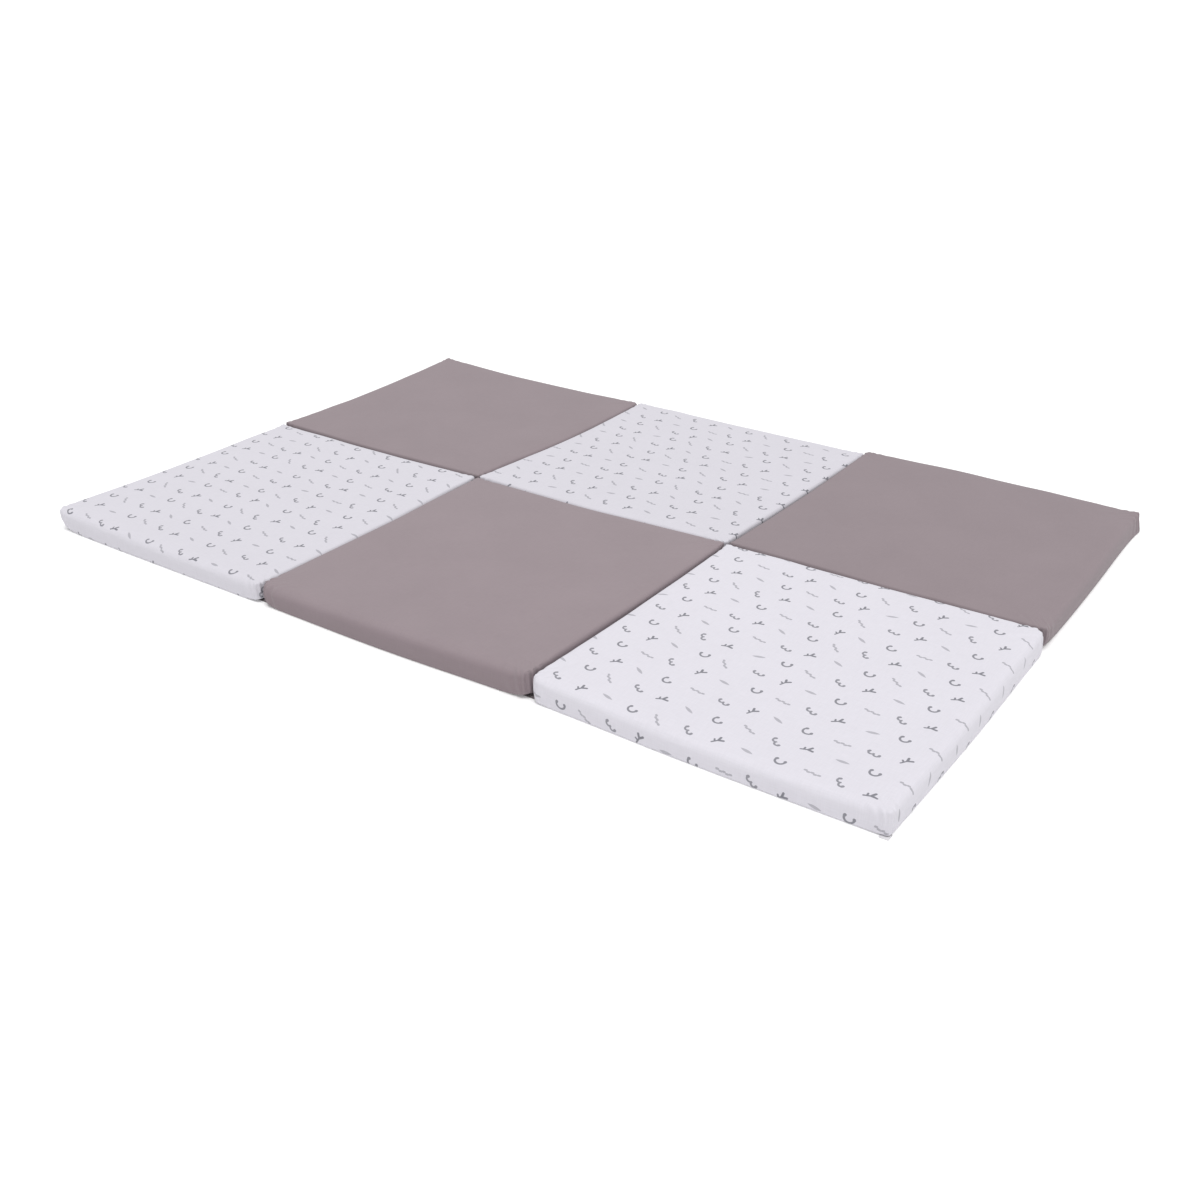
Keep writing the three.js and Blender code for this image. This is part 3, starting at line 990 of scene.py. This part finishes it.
def motifs(finish, place):
    """The five motifs, each with its ink's strength."""
    sprig = together("MINIMUM", [
        stroke(finish, place, (-9, -8), (0, 0), 1.7),
        stroke(finish, place, (0, 0), (9, 2), 2.3),
        stroke(finish, place, (0, 0), (1, 9), 2.3),
        stroke(finish, place, (-5, -4.5), (-7.5, 1), 1.7),
    ])
    leaf = lens(finish, place, 13, 3.2)
    crescent = together("MINIMUM", [
        ring_stroke(finish, place, (0, 4), 9, 2, 1.5),
        stroke(finish, place, (-8.8, 5.2), (-8.2, 6.4), 2.9),
        stroke(finish, place, (8.8, 5.2), (8.2, 6.4), 2.9),
    ])
    dots = together("MINIMUM", [
        stroke(finish, place, (x - 1.3, y), (x + 1.3, y + 0.4), 2.3)
        for x, y in ((-12.6, -1), (-6.3, 1), (0, -1), (6.3, 1), (12.6, -1))
    ])
    ripple = together("MINIMUM", [
        ring_stroke(finish, place, (-5, 2), 5.5, 1.9, 0.5),
        ring_stroke(finish, place, (6, 2), 5.5, 1.9, 0.5),
        stroke(finish, place, (-10.6, 1), (-10.2, 3), 2.8),
        stroke(finish, place, (11.4, 1), (11, 3), 2.8),
    ])
    return [(sprig, 0.85), (leaf, 0.45), (crescent, 0.8), (dots, 0.5), (ripple, 0.75)]


def print_ink(finish, place):
    """How much ink lies on each point of the cloth, from 0 to 1."""
    x, y = split(finish, place)
    row = (y / CELL).math("FLOOR")
    shifted = x / CELL + row * 0.5
    column = shifted.math("FLOOR")
    cell = finish.node("ShaderNodeCombineXYZ", inputs={0: column, 1: row})
    chance = finish.node("ShaderNodeTexWhiteNoise", {"noise_dimensions": "2D"}, {"Vector": cell})
    tint = Field(finish, chance.socket.node.outputs["Color"])
    inside_x = (shifted - column - 0.5) * CELL
    inside_y = (y / CELL - row - 0.5) * CELL
    inside = finish.node("ShaderNodeCombineXYZ", inputs={0: inside_x, 1: inside_y})
    jolt = finish.vector("SUBTRACT", tint, (0.5, 0.5, 0))
    jolt = finish.vector("MULTIPLY", jolt, (JOLT, JOLT, 0))
    inside = finish.vector("ADD", inside, jolt)
    kind = (column + row * KINDS_PER_ROW).math("FLOORED_MODULO", KINDS)
    angle = kind * TURN_OF_KIND + (chance - 0.5) * TURN_BY_CHANCE
    inside = finish.scaled(inside, 1 / MOTIF_SIZE)
    settings = {"rotation_type": "Z_AXIS"}
    turned = finish.node("ShaderNodeVectorRotate", settings, {"Vector": inside, "Angle": angle})
    ink = None
    for number, (shape, strength) in enumerate(motifs(finish, turned)):
        chosen = kind.math("COMPARE", number, 0.5)
        drawn = finish.step(shape, INK_EDGE, -INK_EDGE) * chosen * strength
        ink = drawn if ink is None else ink + drawn
    return ink


# %% [markdown]
# Two kinds of cover share the weave and differ in dye. The white one is a little bluish, with
# the print in grey ink that sinks into the threads. On the warm grey one, painted shade makes the
# sides darker than the top. Where it turns into the gap beside another pad, more painted shade
# darkens it, which the photo shows on the left and front edges of the pads. Both have the soft
# sheen of brushed cotton. Each cover's colour is darkened by its own share, a painted shade for
# the light that falls off across the mat.

# %% Covers of printed and of plain cotton
WHITE = (0.690, 0.672, 0.728)
INK = (0.105, 0.108, 0.130)
INK_SINKS = 0.12  # this share of the ink is missing between the threads
CUT_FROM = (0.013, 0.029)  # a cover is cut this far into the printed cloth, times its seed
GREY = (0.300, 0.246, 0.264)
# painted shade: the grey sides are darker than the top
GREY_PAINTED_SIDE_SHADE = (0.270, 0.217, 0.235)
SIDE_SHADE_FROM, SIDE_SHADE_TO = -2 * MM, 12 * MM  # past the top edge
# painted shade in the gap beside another pad, on a pad's left and front edges
GAP_PAINTED_SHADE = 0.22  # this share of the colour is lost where the cloth turns into a gap
SEAM_FROM, SEAM_TO = -7 * MM, 1 * MM  # past the top edge
PAINTED_SHADE_EDGES = ("left", "front")
CLOUD_SCALE = 7
BRUSHED = dict(Sheen_Weight=0.15, Sheen_Roughness=0.5, Specular_IOR_Level=0.25)


def past_edges(finish, place, edges):
    """How far a point of the cloth lies past the nearest of the named top edges."""
    x, y = split(finish, place)
    past = {
        "right": x - MIDDLE_X, "left": -1 * x - MIDDLE_X,
        "back": y - MIDDLE_Y, "front": -1 * y - MIDDLE_Y,
    }
    return together("MAXIMUM", [past[edge] for edge in edges])


def mottled(finish, place, colour, slubs, cloudy, grainy):
    """A colour with the faint clouds and grain of woven, dyed cloth, each with its strength."""
    clouds = finish.noise(place, CLOUD_SCALE, 3) - 0.5
    return finish.scaled(colour, clouds * cloudy + slubs * grainy + 1)


def printed_cotton(name, pad):
    finish, place, threads, slubs = woven(name, Roughness=0.9, **BRUSHED)
    # painted shade: the white is darkened by the pad's share, for the light it gets
    white = tuple(pad["shade"] * c for c in WHITE)
    ground = mottled(finish, place, white, slubs, cloudy=0.04, grainy=0.09)
    cut_at = [step * pad["seed"] for step in CUT_FROM] + [0]
    ink = print_ink(finish, finish.vector("ADD", place, cut_at))
    ink = ink * (threads * INK_SINKS + (1 - INK_SINKS))
    finish.feed("Base Color", finish.mix(ink, ground, INK))
    return finish.material


def grey_cotton(name, pad):
    finish, place, _, slubs = woven(name, Roughness=0.88, **BRUSHED)
    past_any = past_edges(finish, place, ["left", "right", "front", "back"])
    gap_shade_edges = [edge for edge in inner_edges(pad) if edge in PAINTED_SHADE_EDGES]
    # painted shade: past the top edge the grey turns darker down the sides
    ground = finish.mix(finish.step(past_any, SIDE_SHADE_FROM, SIDE_SHADE_TO), GREY, GREY_PAINTED_SIDE_SHADE)
    # painted shade: the grey is darkened by the pad's share, for the light it gets
    ground = finish.scaled(ground, pad["shade"])
    # painted shade where the cloth turns into a gap beside another pad
    if gap_shade_edges:
        past_seam = past_edges(finish, place, gap_shade_edges)
        turned = finish.step(past_seam, SEAM_FROM, SEAM_TO)
        ground = finish.scaled(ground, 1 - turned * GAP_PAINTED_SHADE)
    finish.feed("Base Color", mottled(finish, place, ground, slubs, cloudy=0.12, grainy=0.09))
    return finish.material


# %% [markdown]
# The base cloth is a stronger, darker cotton. Two rows of stitches run along each gap, where it
# is sewn to the covers, and one along its rim. Stitches are short light dashes. They are drawn by
# the distance from the line and the place along it. The tape of the tab has fine ribs across it.

# %% The base cloth and the tape
STITCH_LONG = 3.2 * MM
STITCH_HALF = 0.35 * MM
STITCH_END = (-0.3, 0.1)  # from the hole to the thread, on a wave from -1 to 1
RIM_ROW = 4 * MM  # from the rim
GAP_ROW = 3 * MM  # from the middle of a gap, on either side
BETWEEN_LAYERS = (1.4, 1.6)  # where neither layer of the base cloth has a place
BASE_GREY = (0.165, 0.143, 0.150)
THREAD_GREY = (0.42, 0.38, 0.39)
TAPE_WHITE = (0.70, 0.69, 0.71)
RIB_PITCH = 0.5 * MM
RIB_DEPTH = 0.05 * MM


def stitches(finish, from_line, along):
    """1 on the thread of a row of stitches and 0 beside it."""
    near = finish.step(from_line, STITCH_HALF, STITCH_HALF * 0.5)
    beat = (along * (2 * math.pi / STITCH_LONG)).math("SINE")
    return near * finish.step(beat, *STITCH_END)


def base_cotton():
    finish, place, _, slubs = woven("base_cotton", Roughness=0.92, Sheen_Weight=0.1,
                                    Sheen_Roughness=0.6, Specular_IOR_Level=0.2)
    x, y = split(finish, place)
    x = x - finish.step(x, *BETWEEN_LAYERS) * LOWER_ASIDE
    from_middle_x, from_middle_y = x.math("ABSOLUTE"), y.math("ABSOLUTE")
    rim = together("MINIMUM", [BASE_HALF_X - from_middle_x, BASE_HALF_Y - from_middle_y])
    rim_line = (rim - RIM_ROW).math("ABSOLUTE")
    gap_x = ((from_middle_x - PAD_ALONG / 2).math("ABSOLUTE") - GAP_ROW).math("ABSOLUTE")
    gap_y = (from_middle_y - GAP_ROW).math("ABSOLUTE")
    rows = [(rim_line, x + y), (gap_x, y), (gap_y, x)]
    thread = together("MAXIMUM", [stitches(finish, line, along) for line, along in rows])
    ground = mottled(finish, place, BASE_GREY, slubs, cloudy=0.08, grainy=0.05)
    finish.feed("Base Color", finish.mix(thread, ground, THREAD_GREY))
    return finish.material


def tab_tape():
    finish = Finish("tab_tape", Roughness=0.7, Sheen_Weight=0.1)
    place = cloth_place(finish)
    _, y = split(finish, place)
    ribs = (y * (math.pi / RIB_PITCH)).math("SINE") * 0.5 + 0.5
    white = mottled(finish, place, TAPE_WHITE, ribs - 0.5, cloudy=0.04, grainy=0.024)
    finish.feed("Base Color", white)
    inputs = {"Strength": 0.4, "Distance": RIB_DEPTH, "Height": ribs}
    finish.feed("Normal", finish.node("ShaderNodeBump", {}, inputs))
    return finish.material


# %% [markdown]
# Every piece gets its finish and its place in the frame, and its solid is hidden. The base cloth
# lies on the floor, and the size it is cut to is printed.

# %% Dressing the solid model
finishes = {"print": printed_cotton, "grey": grey_cotton}
for name, piece in covers.items():
    cover = PADS[name]["cover"]
    piece.data.materials.append(finishes[cover](name + "_cotton", PADS[name]))
    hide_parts(name)
    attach(piece, "root")

base.data.materials.append(base_cotton())
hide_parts("base_cloth")
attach(base, "root")
tab.data.materials.append(tab_tape())
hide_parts("label_tab")
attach(tab, "root")
base_flat = (2 * BASE_HALF_X, 2 * BASE_HALF_Y)
print("base cloth is cut to, mm:", [round(v / MM) for v in base_flat])

# %% [markdown]
# The floor is plain and pale and goes far enough back to fill the picture. It is a white sweep
# that is lit from behind a little, so it stays almost white right up to the mat.

# %% Floor
FLOOR_HALF = 40
FLOOR_LEVEL = -0.15 * MM
FLOOR_WHITE = (0.93, 0.93, 0.93, 1)
FLOOR_GLOW = 0.12


def make_floor():
    mesh = bpy.data.meshes.new("floor")
    corners = [(-1, -1), (1, -1), (1, 1), (-1, 1)]
    points = [(FLOOR_HALF * x, FLOOR_HALF * y, FLOOR_LEVEL) for x, y in corners]
    mesh.from_pydata(points, [], [(0, 1, 2, 3)])
    finish = Finish("floor_paint", Roughness=0.8, Specular_IOR_Level=0.1, Base_Color=FLOOR_WHITE,
                    Emission_Color=(1, 1, 1, 1), Emission_Strength=FLOOR_GLOW)
    mesh.materials.append(finish.material)
    floor = in_scene("floor", mesh)
    floor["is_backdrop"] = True


make_floor()

# %% [markdown]
# The light is that of a white studio: an even glow from all round, and one very large soft light
# from above, a little from the front and the right, so the front sides are the darker ones.

# %% Light
SKY_STRENGTH = 0.55
KEY_STRENGTH = 1.97
KEY_SOFTNESS = math.radians(40)
KEY_FROM = Vector((0.13, -0.14, 1))

world = bpy.data.worlds.new("studio")
world.use_nodes = True
bpy.context.scene.world = world
world.node_tree.nodes["Background"].inputs["Color"].default_value = (1, 1, 1, 1)
world.node_tree.nodes["Background"].inputs["Strength"].default_value = SKY_STRENGTH

key = bpy.data.lights.new("key", "SUN")
key.energy = KEY_STRENGTH
key.angle = KEY_SOFTNESS
key_object = in_scene("key", key)
key_object.rotation_mode = "QUATERNION"
key_object.rotation_quaternion = KEY_FROM.to_track_quat("Z", "Y")
bpy.context.scene.view_settings.view_transform = "Standard"

# %% [markdown]
# The camera stands in front of the mat and to its right, a little over a metre up, and looks
# down at it. Its height, turn and lens were worked out from the lines between the pads.

# %% Camera
CAMERA_X, CAMERA_Y, CAMERA_Z = 1385.3 * MM, -1982.2 * MM, 1055.8 * MM
CAMERA_DOWN = math.radians(26.7135)
CAMERA_TURN = math.radians(34.7513)
FOCAL_PIXELS = 1308.55
PICTURE_PIXELS = 1200
SENSOR = 36
FURTHEST_SEEN = 200

camera_data = bpy.data.cameras.new("camera")
camera_data.sensor_width = SENSOR
camera_data.lens = FOCAL_PIXELS / PICTURE_PIXELS * SENSOR
camera_data.clip_end = FURTHEST_SEEN
camera = in_scene("camera", camera_data)
camera.location = (CAMERA_X + SHIFT[0], CAMERA_Y + SHIFT[1], CAMERA_Z)
camera.rotation_euler = (math.pi / 2 - CAMERA_DOWN, 0, CAMERA_TURN)
bpy.context.scene.camera = camera
print("lens, mm:", round(camera_data.lens, 2))

# %% [markdown]
# Last, the visual model's box is written beside the solid model's, to compare the two.

# %% Sizes and the end
visual_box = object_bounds()
print("past the solid model's box, mm:", past_solid(*visual_box, *cad_box))
